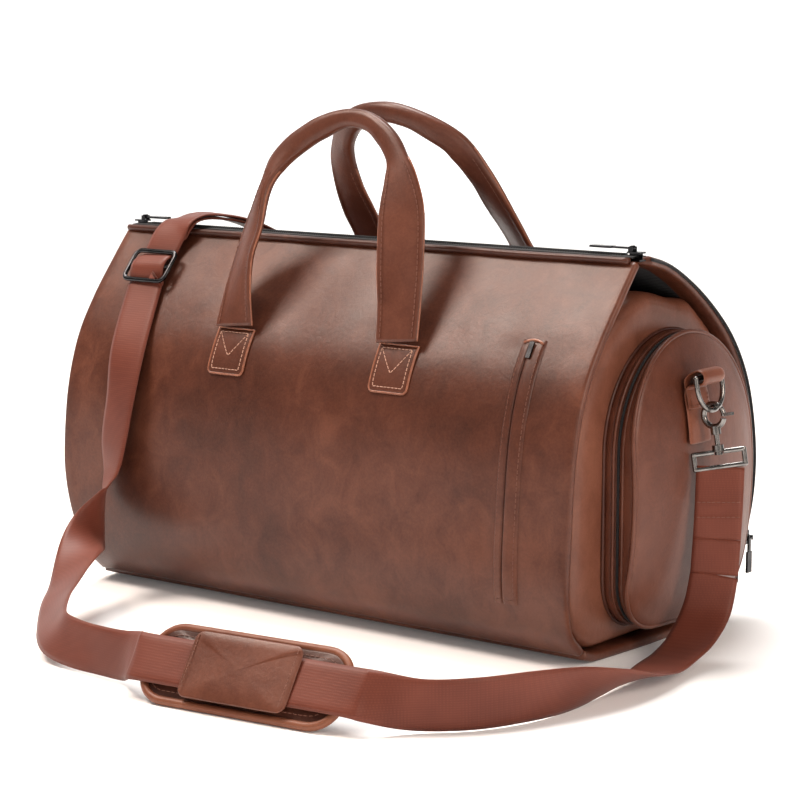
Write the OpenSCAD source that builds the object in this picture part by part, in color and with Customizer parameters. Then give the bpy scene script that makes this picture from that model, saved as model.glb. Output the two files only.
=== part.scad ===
// Weekender bag: a padded outer wrap round an inner bag, with carry handles,
// a shoe pocket on one end and a detachable shoulder strap.
// +X runs along the bag towards the shoe pocket, -Y is the front, +Z is up.
// The origin is on the floor, under the middle of the bag.

/* [Bag] */
// Length of the outer wrap
bag_length = 550; // [546:1:554]
// Thickness of the padded wrap
wrap_t = 8; // [7:0.5:8.5]
// Thickness of the inner bag's wall
wall_t = 4; // [3:0.5:5]
// Thickness of a lining
lining_t = 1; // [0.8:0.1:1.2]

/* [Handles] */
// Width of the handle leather where it is flat
handle_w = 40; // [38:1:42]
// Distance between the legs of a handle
handle_span = 176; // [172:1:180]

/* [Shoulder strap] */
// Width of the webbing
strap_w = 38; // [36:1:38]
// Thickness of the webbing
strap_t = 2.4; // [2:0.2:2.6]
// Length of the shoulder pad
pad_length = 176; // [172:1:180]

/* [Hardware] */
// Diameter of the ring and hook wire
wire_d = 4; // [3.6:0.1:4]
// Running clearance round pins
pin_gap = 0.1; // [0.05:0.01:0.1]

/* [Hidden] */
$fn = 48;
ball_sides = 200;
half = bag_length / 2;

leather = "sienna";
dark_leather = "saddlebrown";
webbing = "indianred";
black = "#222222";
nickel = "silver";
gunmetal = "#55555a";

// Curves: a smooth line through hand-placed points, and a copy of it moved sideways
function clamp_index(i, p) = min(max(i, 0), len(p) - 1);
function smooth_point(p, i, t) =
    let (
        a = p[clamp_index(i - 1, p)],
        b = p[i],
        c = p[clamp_index(i + 1, p)],
        d = p[clamp_index(i + 2, p)]
    )
    b + (c - a) * t / 2
    + (2 * a - 5 * b + 4 * c - d) * t * t / 2
    + (3 * b - a - 3 * c + d) * t * t * t / 2;
function smooth(p, n) = [
    for (i = [0:len(p) - 2], k = [0:n - 1]) smooth_point(p, i, k / n),
    p[len(p) - 1]
];
function unit(v) = v / norm(v);
function heading(p, i) = unit(p[clamp_index(i + 1, p)] - p[clamp_index(i - 1, p)]);
function moved(p, d) = [
    for (i = [0:len(p) - 1]) let (h = heading(p, i)) p[i] + d * [-h[1], h[0]]
];
function reversed(p) = [for (i = [len(p) - 1:-1:0]) p[i]];

// The wrap's section, as [y, z]: the front runs down from the zip to the hinge line
// and the rest runs from there under the bag and up the back to the zip
front_line = smooth([
    [-49, 314], [-71, 288], [-98, 254], [-120, 217], [-134, 168],
    [-140, 100], [-139, 56], [-131, 26], [-114, 8]
], 5);
back_line = concat(
    smooth([[-111, 5.6], [-97, 1], [-80, 0]], 3),
    smooth([
        [10, 0], [36, 5], [64, 17], [100, 36], [126, 62], [140, 95], [144, 132],
        [138, 172], [125, 208], [102, 241], [72, 268], [38, 291], [2, 309], [-28, 317]
    ], 4)
);

// A strip of the section between two depths, stretched along X
module along_x(from, to) {
    translate([from, 0, 0]) rotate([90, 0, 90]) linear_extrude(to - from) children();
}
module strip(line, outer, inner) {
    polygon(concat(moved(line, outer), reversed(moved(line, inner))));
}

// Bands: each station is [x, y, z, width direction x, y, z, width, thickness]
function place(s) = [s[0], s[1], s[2]];
function band_heading(s, i) =
    unit(place(s[clamp_index(i + 1, s)]) - place(s[clamp_index(i - 1, s)]));
function band_ring(s, i) =
    let (
        h = band_heading(s, i),
        w = [s[i][3], s[i][4], s[i][5]],
        across = unit(w - (w * h) * h),
        out = cross(h, across),
        a = s[i][6] / 2,
        b = s[i][7] / 2,
        c = a - 0.6 * b
    )
    [
        for (q = [[a, 0.4 * b], [c, b], [-c, b], [-a, 0.4 * b],
                  [-a, -0.4 * b], [-c, -b], [c, -b], [a, -0.4 * b]])
            place(s[i]) + q[0] * across + q[1] * out
    ];
module band(s) {
    last = 8 * (len(s) - 1);
    sides = [
        for (i = [0:len(s) - 2], k = [0:7])
            let (a = 8 * i + k, b = 8 * i + (k + 1) % 8)
            each [[a, a + 8, b], [b, a + 8, b + 8]]
    ];
    polyhedron(
        [for (i = [0:len(s) - 1]) each band_ring(s, i)],
        concat(sides, [[for (k = [0:7]) k]], [[for (k = [7:-1:0]) last + k]]),
        convexity = 8
    );
}
function sized(route, w, t) = [for (r = route) concat(r, [w, t])];

// ---- outer wrap ----
lining_gap = 0.2;

module front_wrap() {
    color(leather) along_x(-half, half) strip(front_line, 0, wrap_t - lining_t - lining_gap);
}
module front_lining() {
    color(black) along_x(-half + 6, half - 6) strip(front_line, wrap_t - lining_t, wrap_t);
}
module back_wrap() {
    color(leather) along_x(-half, half) strip(back_line, 0, wrap_t - lining_t - lining_gap);
}
module back_lining() {
    color(black) along_x(-half + 6, half - 6) strip(back_line, wrap_t - lining_t, wrap_t);
}

// ---- top zip ----
zip_y = -38;
zip_z = 316;
coil_w = 3;
coil_gap = 1.6;
coil_end = half - 18;
tape_t = 1;
tape_front = -48;
tape_back = -29;
module zip_half(side) {
    inner = zip_y + side * coil_gap / 2;
    edge = side < 0 ? tape_front : tape_back;
    tape_from = min(edge, inner + side * coil_w);
    tape_to = max(edge, inner + side * coil_w);
    color(black) {
        translate([-half + 4, tape_from, zip_z - tape_t / 2])
            cube([bag_length - 8, tape_to - tape_from, tape_t]);
        translate([-coil_end, min(inner, inner + side * coil_w), zip_z - 1.25])
            cube([2 * coil_end, coil_w, 2.5]);
    }
}
module front_zip_half() { zip_half(-1); }
module back_zip_half() { zip_half(1); }

// A slider over the two halves, and its pull, which points towards -X
slider_l = 12;
slider_w = 9;
plate_t = 1.4;
plate_gap = 1.1;
slider_top = zip_z + 1.25 + plate_gap + plate_t;
bail_z = slider_top + 2.6;
bail_r = 0.9;
slider_x = half - 8;
module slider(x, flip) {
    translate([x, zip_y, 0]) mirror([flip, 0, 0]) color(nickel) {
        for (z = [slider_top - plate_t, zip_z - 1.25 - plate_gap - plate_t])
            translate([-slider_l / 2, -slider_w / 2, z]) cube([slider_l, slider_w, plate_t]);
        translate([-slider_l / 2, -0.4, zip_z - 3])
            cube([slider_l, 0.8, slider_top - zip_z + 3 - plate_t / 2]);
        for (s = [-1, 1])
            translate([-5.5, s * 2.9 - 0.6, slider_top - 0.2]) cube([4, 1.2, 4]);
        translate([-3.5, -3, bail_z]) rotate([-90, 0, 0]) cylinder(r = bail_r, h = 6);
    }
}
module pull(x, flip, length) {
    translate([x, zip_y, 0]) mirror([flip, 0, 0]) translate([-3.5, 0, bail_z]) color(gunmetal)
        difference() {
            union() {
                rotate([90, 0, 0]) cylinder(r = 2.1, h = 4, center = true);
                translate([-length, -2, -0.8]) cube([length, 4, 1.6]);
                translate([-length - 4, -4, -0.9]) cube([20, 8, 1.8]);
            }
            rotate([90, 0, 0]) cylinder(r = bail_r + pin_gap, h = 10, center = true);
        }
}
module zip_slider_right() { slider(slider_x, 0); }
module zip_pull_right() { pull(slider_x, 0, 34); }
module zip_slider_left() { slider(-slider_x, 1); }
module zip_pull_left() { pull(-slider_x, 1, 24); }

// ---- handles ----
patch_low = 201;
patch_high = 237;
leg_x = handle_span / 2;
leg_t = 5;

module patches(line) {
    color(dark_leather) intersection() {
        for (s = [-1, 1])
            along_x(s * leg_x - handle_w / 2, s * leg_x + handle_w / 2)
                strip(line, -2.6, -0.1);
        translate([-half, -200, patch_low]) cube([bag_length, 400, patch_high - patch_low]);
    }
}
module front_handle_patches() { patches(front_line); }
module back_handle_patches() { patches(back_line); }

// A handle from the left patch over the top to the right one:
// [x, y, z, across, width, thickness]; the legs twist as they run up into the grip
front_handle_route = [
    [-88, -114, 242, -1, 0, 0, handle_w, leg_t],
    [-90, -107, 270, -0.9, 0.25, 0, handle_w - 2, leg_t],
    [-90, -98, 300, -0.8, 0.42, 0, 36, 6],
    [-86, -90, 325, -0.8, 0.42, 0.1, 30, 8],
    [-81, -80, 358, -0.8, 0.45, 0.3, 21, 9],
    [-74, -70, 380, -0.7, 0.4, 0.6, 19, 11],
    [-58, -62, 397, -0.5, 0.2, 0.9, 20, 12],
    [-36, -57, 410, -0.3, 0.2, 1, 19, 12],
    [-10, -54, 418, 0, 0.2, 1, 16, 12],
    [16, -57, 415, 0.2, 0.2, 1, 16, 12],
    [37, -62, 403, 0.6, 0.2, 0.8, 18, 11],
    [52, -68, 388, 0.8, 0.2, 0.6, 24, 10],
    [63, -77, 368, 0.9, 0.25, 0.3, 32, 8],
    [71, -86, 342, 0.95, 0.25, 0.1, handle_w - 2, 6],
    [79, -98, 302, 0.95, 0.25, 0, handle_w, leg_t],
    [85, -107, 268, 1, 0.1, 0, handle_w, leg_t],
    [88, -114, 242, 1, 0, 0, handle_w, leg_t]
];
back_handle_route = [
    [-88, 110, 242, -1, 0, 0, handle_w, leg_t],
    [-87, 99, 264, -1, 0, 0, handle_w, leg_t],
    [-84, 74, 298, -1, 0, 0.1, handle_w - 2, 6],
    [-79, 45, 332, -1, 0, 0.1, handle_w - 2, 6],
    [-77, 28, 357, -1, 0.1, 0.2, 36, 7],
    [-75, 18, 380, -0.9, 0.1, 0.4, 30, 9],
    [-64, 8, 402, -0.7, 0.1, 0.8, 24, 12],
    [-42, 0, 417, -0.3, -0.1, 1, 20, 14],
    [-10, -5, 422, 0, -0.1, 1, 18, 14],
    [14, -3, 418, 0.1, -0.1, 1, 18, 14],
    [34, 2, 409, 0.3, -0.1, 1, 20, 14],
    [53, 14, 394, 0.6, -0.1, 0.8, 22, 12],
    [65, 32, 368, 0.8, -0.3, 0.4, 26, 9],
    [72, 48, 342, 0.8, -0.4, 0.2, 34, 7],
    [78, 73, 308, 0.8, -0.4, 0, handle_w - 2, 6],
    [85, 98, 268, 0.95, -0.2, 0, handle_w, leg_t],
    [88, 110, 242, 1, 0, 0, handle_w, leg_t]
];
module handle(route) {
    spread = [
        for (s = route) concat([s[0] * handle_span / 176], [for (k = [1:7]) s[k]])
    ];
    color(leather) band(smooth(spread, 2));
}
module front_handle() { handle(front_handle_route); }
module back_handle() { handle(back_handle_route); }

// ---- front welt pocket ----
welt_x = 215;
welt_w = 22;
welt_top = 252;
welt_bottom = 48;
welt_slot = 5;
module welt_band(outer, inner, x0, x1, low, high) {
    intersection() {
        along_x(x0, x1) strip(front_line, outer, inner);
        translate([x0 - 1, -200, low]) cube([x1 - x0 + 2, 200, high - low]);
    }
}
module welt_pocket() {
    color(dark_leather) difference() {
        welt_band(-2, -0.1, welt_x - welt_w / 2, welt_x + welt_w / 2, welt_bottom, welt_top);
        welt_band(-3, 1, welt_x - welt_slot / 2, welt_x + welt_slot / 2,
                  welt_bottom + 12, welt_top - 6);
    }
}
module welt_zip() {
    color(black)
        welt_band(-0.9, -0.1, welt_x - welt_slot / 2 + 0.2, welt_x + welt_slot / 2 - 0.2,
                  welt_bottom + 13, welt_top - 7);
}
// Slope of the front between two heights near the top of the pocket
slope_a = [-98, 254];
slope_b = [-120, 217];
slope = unit(slope_b - slope_a);
module welt_slider() {
    color(gunmetal) translate([welt_x, -103, 240])
        rotate([atan2(slope[1], slope[0]) + 90, 0, 0])
            translate([-2, -7.4, -5]) cube([4, 1.6, 14]);
}

// ---- inner bag ----
tub_gap = 2;
tub_out = wrap_t + tub_gap;
tub_half = 258;
tub_front = 9;
tub_back = len(back_line) - 9;
function part_of(p, from, to) = [for (i = [from:to]) p[i]];
tub_line = concat(
    part_of(front_line, tub_front, len(front_line) - 2),
    part_of(back_line, 1, tub_back)
);
module inner_bag() {
    color(dark_leather) along_x(-tub_half, tub_half)
        strip(tub_line, tub_out, tub_out + wall_t);
}
module bag_lining() {
    color(black) along_x(-tub_half + 1, tub_half - 1)
        strip(tub_line, tub_out + wall_t + lining_gap, tub_out + wall_t + lining_gap + lining_t);
}
board_z = tub_out + wall_t + lining_t + 5;
module base_board() {
    color("dimgray") translate([-tub_half + 6, -78, board_z]) cube([2 * tub_half - 12, 104, 3]);
}

// End panels: the bag's section closed by a low arch, domed by a large ball
panel_t = 10;
arch = smooth([
    moved(tub_line, tub_out)[len(tub_line) - 1], [22, 278], [-16, 286], [-48, 279],
    moved(tub_line, tub_out)[0]
], 4);
module end_outline() {
    polygon(concat(moved(tub_line, tub_out), arch));
}
module end_panel_right() {
    color(leather) along_x(tub_half + 0.2, tub_half + panel_t) end_outline();
}
left_r = 500;
left_at = [left_r - 281, 0, 140];
module end_panel_left() {
    color(leather) intersection() {
        along_x(-300, -tub_half - 0.2) end_outline();
        translate(left_at) sphere(r = left_r, $fn = ball_sides);
    }
}

// ---- shoe pocket ----
pocket_x = tub_half + panel_t + 0.2;
pocket_y = 6;
pocket_r = 88;
pocket_low = 28;
pocket_mid = 165;
pocket_wall = 3;
face_r = 400;
face_c = 310 - face_r;
face_at = [face_c, pocket_y, 130];
corner_r = 40;
module pocket_outline(grow) {
    r = pocket_r + grow;
    c = corner_r + grow;
    translate([pocket_y, pocket_mid]) circle(r = r);
    translate([pocket_y - r, pocket_low + corner_r])
        square([2 * r, pocket_mid - pocket_low - corner_r]);
    translate([pocket_y - pocket_r + corner_r, pocket_low - grow])
        square([2 * (pocket_r - corner_r), corner_r + 20]);
    for (s = [-1, 1])
        translate([pocket_y + s * (pocket_r - corner_r), pocket_low + corner_r]) circle(r = c);
}
module pocket_gusset() {
    color(leather) intersection() {
        along_x(pocket_x, 330) difference() {
            pocket_outline(0);
            pocket_outline(-pocket_wall);
        }
        translate(face_at) sphere(r = face_r - 3.4, $fn = ball_sides);
    }
}
module pocket_face() {
    color(leather) intersection() {
        along_x(pocket_x, 330) pocket_outline(0);
        difference() {
            translate(face_at) sphere(r = face_r, $fn = ball_sides);
            translate(face_at) sphere(r = face_r - 3.2, $fn = ball_sides);
        }
    }
}
module pocket_piping() {
    color(dark_leather) intersection() {
        along_x(pocket_x, 330) difference() {
            pocket_outline(3.2);
            pocket_outline(0.1);
        }
        difference() {
            translate(face_at) sphere(r = face_r + 0.5, $fn = ball_sides);
            translate(face_at) sphere(r = face_r - 5, $fn = ball_sides);
        }
    }
}
pocket_zip_x = 278;
pocket_zip_w = 6.5;
module pocket_zip() {
    color(black) along_x(pocket_zip_x, pocket_zip_x + pocket_zip_w) difference() {
        pocket_outline(1.1);
        pocket_outline(0.1);
    }
}
side_y = pocket_y + pocket_r;
pocket_slider_z = 60;
pocket_slider_x = pocket_zip_x + pocket_zip_w / 2;
// A slider that rides on a flat tape which faces +Y, with a pull hanging from its bail
module side_slider(x, y, z) {
    translate([x, y, z]) color(nickel) {
        translate([-4, 0, -6]) cube([8, 2, 12]);
        for (s = [-1, 1])
            translate([s * 2.9 - 0.6, 1.8, -2]) cube([1.2, 4.4, 4]);
        translate([-3, 4.4, 0]) rotate([0, 90, 0]) cylinder(r = bail_r, h = 6);
    }
}
module side_pull(x, y, z, length) {
    translate([x, y + 4.4, z]) color(gunmetal) difference() {
        union() {
            rotate([0, 90, 0]) cylinder(r = 2, h = 4, center = true);
            translate([-1.8, -0.8, -length]) cube([3.6, 1.6, length]);
            translate([-3.5, -1, -length - 6]) cube([7, 2, 18]);
        }
        rotate([0, 90, 0]) cylinder(r = bail_r + pin_gap, h = 10, center = true);
    }
}
module pocket_slider() { side_slider(pocket_slider_x, side_y + 1.4, pocket_slider_z); }
module pocket_pull() { side_pull(pocket_slider_x, side_y + 1.4, pocket_slider_z, 22); }

// ---- garment compartment zip, on the right edge of the back ----
garment_from = 15;
module garment_zip() {
    color(black) along_x(half + 0.1, half + 1.5)
        strip(part_of(back_line, garment_from, len(back_line) - 1), 1, wrap_t - 2);
}
garment_at = [half + 1.8, 124, 66];
module garment_slider() {
    translate(garment_at) rotate([0, 0, -90]) side_slider(0, 0, 0);
}
module garment_pull() {
    translate(garment_at) rotate([0, 0, -90]) side_pull(0, 0, 0, 24);
}

// ---- cinch strap and buckle under the top, at the right end ----
cinch_x = 236;
cinch_w = 20;
cinch_z = 258;
module cinch_web_front() {
    color(black) translate([cinch_x - cinch_w / 2, -46, cinch_z - 0.8]) cube([cinch_w, 12, 1.6]);
}
module cinch_web_back() {
    color(black) translate([cinch_x - cinch_w / 2, 18.2, cinch_z - 0.8]) cube([cinch_w, 40, 1.6]);
}
module buckle_male() {
    color(black) translate([cinch_x, 0, cinch_z]) {
        translate([-12, -33.8, -3]) cube([24, 13.8, 6]);
        for (s = [-1, 0, 1])
            translate([s * 8.5 - 1.5, -21, -1.6]) cube([3, 20, 3.2]);
    }
}
module buckle_female() {
    color(black) translate([cinch_x, 0, cinch_z]) difference() {
        translate([-14, -19.4, -4.5]) cube([28, 37.4, 9]);
        translate([-11.5, -20, -2.2]) cube([23, 22, 4.4]);
    }
}

// ---- strap hardware, drawn for the right end and mirrored for the left ----
hang_y = -7;
hang_z = 222;
bar_r = wire_d / 2;
ring_half = 19;
ring_drop = 8;
eye_r = 9;
eye_wire = 2.4;
eye_z = -ring_drop - ring_half + bar_r + 0.4 - (eye_r - eye_wire);
shank_z = eye_z - eye_r;
pin_r = 2;
collar_z = shank_z - 16;
link_w = 40;
link_h = 12;
link_z = collar_z - 6;
hang_x = [316, -290];
hang_lean = 10;
module at_bar(side) {
    i = side == "right" ? 0 : 1;
    translate([hang_x[i], hang_y, hang_z]) mirror([i, 0, 0]) children();
}
module hang(side) {
    at_bar(side) rotate([0, -hang_lean, 0]) children();
}
// The leather chape that holds a D-ring: a roll round its bar and a tab on the end panel
chape_w = 32;
tab_low = 185;
module chape(side, ball_at, ball_r) {
    reach = side == "right" ? 16 : 13;
    color(dark_leather) {
        at_bar(side) difference() {
            union() {
                rotate([90, 0, 0]) cylinder(r = 5, h = chape_w, center = true);
                translate([-reach, -chape_w / 2, -2.2]) cube([reach - 3, chape_w, 5]);
            }
            rotate([90, 0, 0]) cylinder(r = bar_r + pin_gap, h = 50, center = true);
        }
        intersection() {
            translate([-400, hang_y - chape_w / 2, tab_low])
                cube([800, chape_w, hang_z - 2.2 - tab_low + 4]);
            translate([side == "right" ? 250 : -450, -100, 0]) cube([200, 200, 300]);
            difference() {
                translate(ball_at) sphere(r = ball_r + 3.5, $fn = ball_sides);
                translate(ball_at) sphere(r = ball_r + 0.3, $fn = ball_sides);
            }
        }
    }
}
module chape_right() { chape("right", face_at, face_r); }
module chape_left() { chape("left", left_at, left_r); }
module d_ring(side) {
    hang(side) color(nickel) {
        rotate([90, 0, 0]) cylinder(r = bar_r, h = 2 * ring_half, center = true);
        for (s = [-1, 1])
            translate([0, s * ring_half, -ring_drop]) cylinder(r = bar_r, h = ring_drop);
        for (s = [-1, 1]) translate([0, s * ring_half, 0]) sphere(r = bar_r);
        translate([0, 0, -ring_drop]) rotate([0, 90, 0]) rotate([0, 0, -90])
            rotate_extrude(angle = 180) translate([ring_half, 0]) circle(r = bar_r);
    }
}
module snap_hook(side) {
    hang(side) color(nickel) {
        translate([0, 0, eye_z]) rotate([90, 0, 0])
            rotate_extrude(angle = 298, start = 42) translate([eye_r, 0]) circle(r = eye_wire);
        translate([0, 0, shank_z - 6]) cylinder(r = 4, h = 6.5);
        translate([0, 0, collar_z - 5]) cylinder(r = pin_r, h = shank_z - collar_z);
        translate([0, 0, collar_z - 6.3]) cylinder(r = 3.2, h = 2.2);
    }
}
module hook_gate(side) {
    hang(side) color(gunmetal) {
        translate([0, 0, eye_z]) rotate([90, 0, 0])
            rotate_extrude(angle = 44, start = -8) translate([eye_r, 0]) circle(r = eye_wire - 0.4);
        translate([eye_r + 1.4, -2, eye_z - 1]) cube([7, 4, 2.4]);
    }
}
module strap_ring(side) {
    hang(side) color(nickel) {
        difference() {
            translate([0, 0, collar_z - 3.6]) cylinder(r = 4.6, h = 5);
            translate([0, 0, collar_z - 10]) cylinder(r = pin_r + pin_gap, h = 20);
        }
        rotate([0, 0, side == "right" ? -52 : 38]) translate([0, 0, link_z]) {
            for (s = [-1, 1])
                translate([0, s * 3.9, 2]) rotate([-s * 90, 0, 0])
                    cylinder(r = bar_r, h = link_w / 2 - 3.9);
            translate([0, 0, 2 - link_h]) rotate([90, 0, 0])
                cylinder(r = bar_r, h = link_w, center = true);
            for (s = [-1, 1]) translate([0, s * link_w / 2, 2 - link_h]) {
                cylinder(r = bar_r, h = link_h);
                sphere(r = bar_r);
                translate([0, 0, link_h]) sphere(r = bar_r);
            }
        }
    }
}
module d_ring_right() { d_ring("right"); }
module d_ring_left() { d_ring("left"); }
module snap_hook_right() { snap_hook("right"); }
module snap_hook_left() { snap_hook("left"); }
module hook_gate_right() { hook_gate("right"); }
module hook_gate_left() { hook_gate("left"); }
module strap_ring_right() { strap_ring("right"); }
module strap_ring_left() { strap_ring("left"); }

// ---- shoulder strap: [x, y, z, width direction] ----
front_route = [
    [-213, -83.5, 279.3, 1, 0.05, 0.05],
    [-210, -97, 264, 1, 0.1, 0.05],
    [-199, -129, 217, 1, 0.1, 0.05],
    [-195, -144, 175, 1, -0.1, 0.1],
    [-198, -150, 138, 1, -0.2, 0.1],
    [-199, -153, 112, 0.9, -0.4, 0.15]
];
floor_route = [
    [-199, -154, 110, 0.9, -0.4, 0.15],
    [-200, -158, 98, 0.8, -0.55, 0.25],
    [-198, -166, 84, 0.5, -0.7, 0.5],
    [-190, -190, 64, -0.2, -0.85, 0.5],
    [-168, -225, 52, -0.8, -0.4, 0],
    [-144, -260, 42, -0.85, -0.3, -0.4],
    [-124, -290, 36, -0.8, -0.3, -0.5],
    [-105, -315, 31, -0.7, -0.3, -0.65],
    [-84, -338, 26, -0.6, -0.3, -0.75],
    [-64, -352, 23, -0.45, -0.25, -0.85],
    [-38, -358, 21, -0.25, -0.2, -0.95],
    [-10, -360, 20.5, -0.1, -0.1, -1],
    [20, -364, 22, 0, -0.2, -1],
    [40, -373, 27, 0.03, -0.45, -0.9],
    [58, -379, 30, 0.06, -0.6, -0.8],
    [146, -370, 30, 0.06, -0.6, -0.8],
    [234, -361, 30, 0.06, -0.6, -0.8],
    [252, -355, 28, 0.04, -0.45, -0.9],
    [278, -332, 21, 0, 0, -1],
    [306, -302, 20, 0, 0, -1],
    [326, -262, 20, -0.1, 0, -1],
    [336, -222, 18, -0.3, 0.1, -0.9],
    [341, -180, 14, -0.7, 0.1, -0.7],
    [340, -140, 10, -0.95, 0.1, -0.3],
    [335, -106, 9, -1, 0, 0],
    [332, -76, 12, -1, -0.1, 0],
    [331, -50, 21, -0.95, -0.3, 0],
    [330, -26, 40, -0.85, -0.5, 0],
    [330, -16, 66, -0.8, -0.6, 0],
    [330, -14, 94, -0.79, -0.61, 0]
];
ring_bottom = link_z - link_h - 7.5;
ring_out = ring_bottom * sin(hang_lean);
ring_z = hang_z + ring_bottom * cos(hang_lean);
ring_right_at = [hang_x[0] - ring_out, hang_y, ring_z];
ring_left_at = [hang_x[1] + ring_out, hang_y, ring_z];
end_route = [
    [330, -14, 96.5, -0.79, -0.61, 0],
    [330, -11, 120, -0.79, -0.61, 0],
    concat(ring_right_at, [-0.79, -0.61, 0])
];
top_route = [
    [-213.5, -78.4, 285.5, 1, 0.05, 0.05],
    [-212, -71, 295.5, 1, 0.05, 0.05],
    [-209, -61, 313, 1, 0.05, 0.05],
    [-203, -48, 325, 0.95, -0.2, 0.1],
    [-197, -22, 328.5, 0.9, -0.3, 0],
    [-180, 6, 321, 0.9, -0.3, 0],
    [-162, 34, 303, 0.95, -0.2, 0],
    [-156, 75, 284, 1, 0, 0],
    [-166, 122, 238, 0.95, 0, -0.2],
    [-188, 152, 192, 0.8, 0, -0.5],
    [-226, 166, 156, 0.5, 0, -0.8],
    [-268, 160, 130, 0.2, 0, -1],
    [-304, 132, 114, 0, 0, -1],
    [-322, 92, 106, 0, -0.1, -1],
    [-324, 52, 108, 0, -0.3, -0.9],
    [-314, 18, 122, -0.3, -0.7, -0.6],
    concat(ring_left_at, [-0.62, -0.79, 0])
];
module strap_front() { color(webbing) band(sized(smooth(front_route, 2), strap_w, strap_t)); }
module strap_floor() { color(webbing) band(sized(smooth(floor_route, 2), strap_w, strap_t)); }
module strap_end_right() { color(webbing) band(sized(end_route, strap_w, strap_t)); }
module strap_top() { color(webbing) band(sized(smooth(top_route, 2), strap_w, strap_t)); }
under = 3.8;
function lowered(s) = [
    for (i = [0:len(s) - 1])
        let (
            h = band_heading(s, i),
            w = [s[i][3], s[i][4], s[i][5]],
            n = cross(h, unit(w - (w * h) * h)),
            p = place(s[i]) + under * n
        )
        [p[0], p[1], p[2], s[i][3], s[i][4], s[i][5]]
];
return_from = 4;
return_to = 13;
module strap_return() {
    s = lowered(smooth(top_route, 2));
    color(webbing) band(sized(part_of(s, return_from, return_to), strap_w - 0.4, strap_t));
}

// Tri-glide on the front of the strap
glide_w = 48;
glide_l = 30;
glide_tilt = 40;
module tri_glide() {
    translate([-213, -86, 284]) rotate([-glide_tilt, 0, 0]) color(gunmetal) {
        for (s = [-1, 1])
            translate([s * glide_w / 2, 0, -glide_l / 2]) cylinder(r = bar_r, h = glide_l);
        for (z = [-glide_l / 2, 0, glide_l / 2])
            translate([-glide_w / 2, 0, z]) rotate([0, 90, 0]) cylinder(r = bar_r, h = glide_w);
        for (s = [-1, 1], z = [-glide_l / 2, glide_l / 2])
            translate([s * glide_w / 2, 0, z]) sphere(r = bar_r);
    }
}

// Shoulder pad, leaning back on its lower edge, and the sleeve that holds the webbing
pad_w = 60;
pad_t = 6;
pad_lean = 37;
pad_yaw = 6;
pad_at = [146, -370, 30];
pad_room = 3.4;
sleeve_length = 96;
sleeve_t = 2;
module pad_frame() {
    translate(pad_at) rotate([-pad_lean, 0, pad_yaw]) children();
}
module rounded_slab(l, w, t, r) {
    rotate([90, 0, 0]) linear_extrude(t) {
        square([l - 2 * r, w], center = true);
        square([l, w - 2 * r], center = true);
        for (sx = [-1, 1], sz = [-1, 1])
            translate([sx * (l / 2 - r), sz * (w / 2 - r)]) circle(r = r);
    }
}
module shoulder_pad() {
    color(dark_leather) pad_frame() translate([0, pad_room + pad_t, 0])
        rounded_slab(pad_length, pad_w, pad_t, 24);
}
module pad_sleeve() {
    color(leather) pad_frame()
        translate([0, -pad_room, 0]) rounded_slab(sleeve_length, pad_w - 8, sleeve_t, 10);
}

front_wrap();
front_lining();
front_zip_half();
front_handle_patches();
front_handle();
welt_pocket();
welt_zip();
welt_slider();
back_wrap();
back_lining();
back_zip_half();
back_handle_patches();
back_handle();
inner_bag();
bag_lining();
base_board();
end_panel_right();
end_panel_left();
pocket_gusset();
pocket_face();
pocket_piping();
pocket_zip();
pocket_slider();
pocket_pull();
garment_zip();
garment_slider();
garment_pull();
zip_slider_right();
zip_pull_right();
zip_slider_left();
zip_pull_left();
cinch_web_front();
cinch_web_back();
buckle_male();
buckle_female();
chape_right();
d_ring_right();
snap_hook_right();
hook_gate_right();
strap_ring_right();
chape_left();
d_ring_left();
snap_hook_left();
hook_gate_left();
strap_ring_left();
strap_front();
strap_floor();
strap_top();
strap_return();
strap_end_right();
tri_glide();
shoulder_pad();
pad_sleeve();
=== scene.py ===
import math
import bpy
from mathutils import Vector, Matrix, noise


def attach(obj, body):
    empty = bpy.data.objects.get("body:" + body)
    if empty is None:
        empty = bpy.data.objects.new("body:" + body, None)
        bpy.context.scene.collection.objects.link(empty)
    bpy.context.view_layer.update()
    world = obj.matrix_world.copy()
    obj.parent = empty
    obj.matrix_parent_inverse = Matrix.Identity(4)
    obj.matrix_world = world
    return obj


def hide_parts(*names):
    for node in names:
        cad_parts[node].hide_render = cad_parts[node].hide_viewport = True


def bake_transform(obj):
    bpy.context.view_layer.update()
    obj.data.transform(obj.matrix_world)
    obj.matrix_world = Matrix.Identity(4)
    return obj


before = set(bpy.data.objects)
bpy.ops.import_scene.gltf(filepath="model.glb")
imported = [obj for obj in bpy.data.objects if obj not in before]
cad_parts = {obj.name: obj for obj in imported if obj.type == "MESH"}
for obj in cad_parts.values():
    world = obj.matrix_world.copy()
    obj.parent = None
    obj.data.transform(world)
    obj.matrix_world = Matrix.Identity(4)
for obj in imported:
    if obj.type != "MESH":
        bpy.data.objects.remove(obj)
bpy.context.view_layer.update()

MM = 0.001
scene = bpy.context.scene

# ---------------------------------------------------------------- camera
cam_data = bpy.data.cameras.new("camera")
cam_data.lens = 109.5
cam_data.sensor_width = 36
cam = bpy.data.objects.new("camera", cam_data)
scene.collection.objects.link(cam)
cam.location = (1.2920, -1.6512, 0.4922)
LOOK = Vector((0.0321, -0.0380, 0.1801))
cam.rotation_euler = (LOOK - cam.location).to_track_quat("-Z", "Y").to_euler()
scene.camera = cam


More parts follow.
